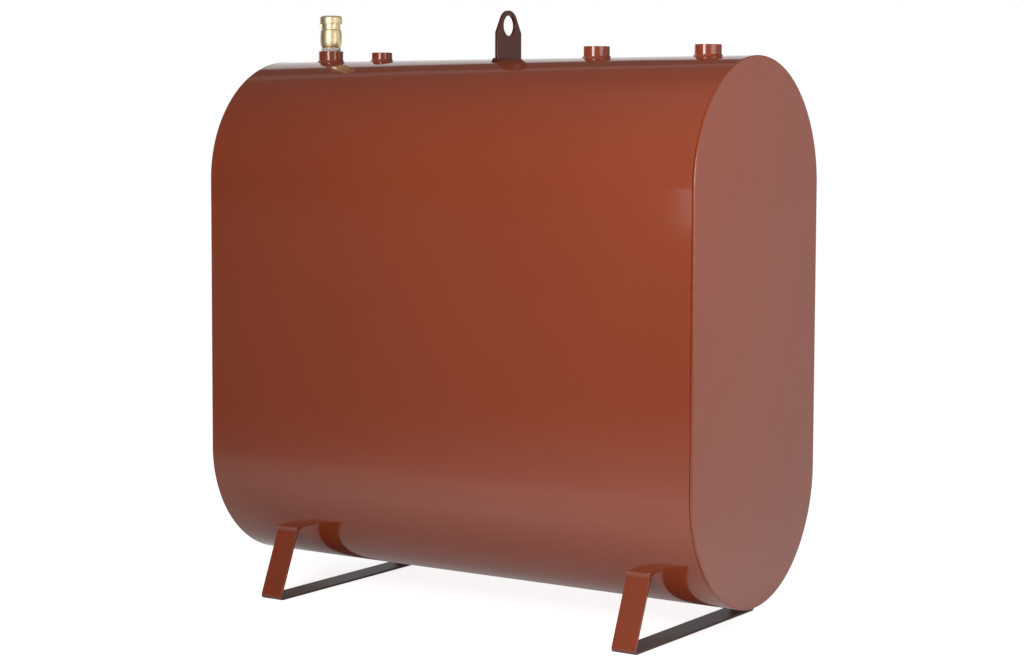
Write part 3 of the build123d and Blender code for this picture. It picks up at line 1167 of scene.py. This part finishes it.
def studio_floor():
    """A wide pale floor that keeps the tank's shadow; to gloss it glows, with a painted shadow
    under the tank and painted light round it.
    """
    bpy.ops.object.select_all(action="DESELECT")
    bpy.ops.mesh.primitive_circle_add(
        vertices=96, radius=30.0, fill_type="NGON", location=(0, 0, 0)
    )
    floor = bpy.context.object
    floor.name = "studio_floor"
    material = bpy.data.materials.new("studio_floor")
    nodes = NodeTree(material)
    nodes.tree.nodes.clear()
    camera_glow = 0.82
    place = nodes.object_place()
    x, y = (
        nodes.add("ShaderNodeSeparateXYZ", {}, {0: place}, output=axis) for axis in "XY"
    )
    away = nodes.add("ShaderNodeVectorMath", {"operation": "LENGTH"}, {0: place}, output="Value")
    # painted shadow: under the tank the floor's glow that gloss sees drops to 0.30 of its level
    painted_shadow_half_x, painted_shadow_half_y = 0.72, 0.30
    under_x = x.sum("ABSOLUTE", x) - painted_shadow_half_x
    under_y = y.sum("ABSOLUTE", y) - painted_shadow_half_y
    outside_painted_shadow = nodes.ramp(
        under_x.sum("MAXIMUM", under_x, under_y) * 3.0, (0.0, 0.30), (1.0, 1.0)
    )
    # painted light: in front the glow that gloss sees fades with distance and towards the left,
    # like a pool of lamp light
    painted_light_front = nodes.ramp(away * 0.1, (0.22, 0.85), (0.30, 0.72), (0.37, 0.50), (0.46, 0.0))
    painted_light_front = painted_light_front * nodes.ramp((x + 2.2) * 0.5, (0.0, 0.25), (1.0, 1.0))
    back = nodes.ramp(y * 2.0 + 0.5, (0.0, 0.0), (1.0, 1.0))
    painted_floor_light = back * 0.57 + (1 - back) * painted_light_front
    camera, glossy = ray_kinds(nodes)
    # camera rays see an even glow; gloss sees the painted light and the painted shadow
    glow = camera * camera_glow + (1 - camera) * glossy * outside_painted_shadow * painted_floor_light
    lit = nodes.add("ShaderNodeBsdfDiffuse", {}, {"Color": (0.83, 0.83, 0.82, 1)})
    shine = nodes.add("ShaderNodeEmission", {}, {"Color": (1, 1, 1, 1), "Strength": glow})
    both = nodes.add("ShaderNodeAddShader", {}, {0: lit, 1: shine})
    output = nodes.tree.nodes.new("ShaderNodeOutputMaterial")
    nodes.feed(output.inputs["Surface"], both)
    floor.data.materials.append(material)


def photo_camera():
    """The camera at the photograph's place, angle and framing."""
    frame_width_px = 1024
    focal_px = 2242.0
    lowered_px = 40
    place = (3.3107, -4.9567, 1.2907)
    down, left, tilt = math.radians(4.332), math.radians(33.591), math.radians(0.203)
    data = bpy.data.cameras.new("photo_camera")
    data.sensor_width = 36.0
    data.lens = focal_px / frame_width_px * data.sensor_width
    data.shift_y = -lowered_px / frame_width_px
    camera = bpy.data.objects.new("photo_camera", data)
    scene.collection.objects.link(camera)
    turn = Matrix.Rotation(left, 4, "Z") @ Matrix.Rotation(math.pi / 2 - down, 4, "X")
    turn = turn @ Matrix.Rotation(tilt, 4, "Z")
    camera.matrix_world = Matrix.Translation(place) @ turn
    scene.camera = camera


scene.view_settings.view_transform = "Standard"
enamel = red_oxide_enamel()
lug_enamel = thin_enamel_on_scale((lug_low.x + lug_high.x) / 2, (lug_high.x - lug_low.x) / 2)
cap_radius = 30 * mm
brass = turned_brass(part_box("filler_cap")[0].x + cap_radius)
seal = pale_seal()
shell_wrap(enamel)
head_bead(enamel, 1, 11)
head_bead(enamel, -1, 12)
head_plate(enamel, 1)
head_plate(enamel, -1)
belly_seam(enamel, 13)
crown_sockets(enamel)
lug_plate(lug_enamel)
lug_bead(lug_enamel, 31)
feet(enamel)
fill_fitting(brass, seal)
studio_world()
studio_floor()
softbox_spread = math.radians(56.4)
lamp("front_softbox", (0.34, -3.7, 2.0), (1.19, -0.3, 1.855), (1.4, 1.6), 17.1, softbox_spread)
lamp("right_strip", (2.2, -0.5, 1.35), (0.75, -0.1, 1.15), (1.2, 1.4), 3.45)
lamp("edge_glow", (-0.75, -3.3, 1.01), (0.75, -0.325, 1.10), (0.36, 0.22), 1.25)
photo_camera()
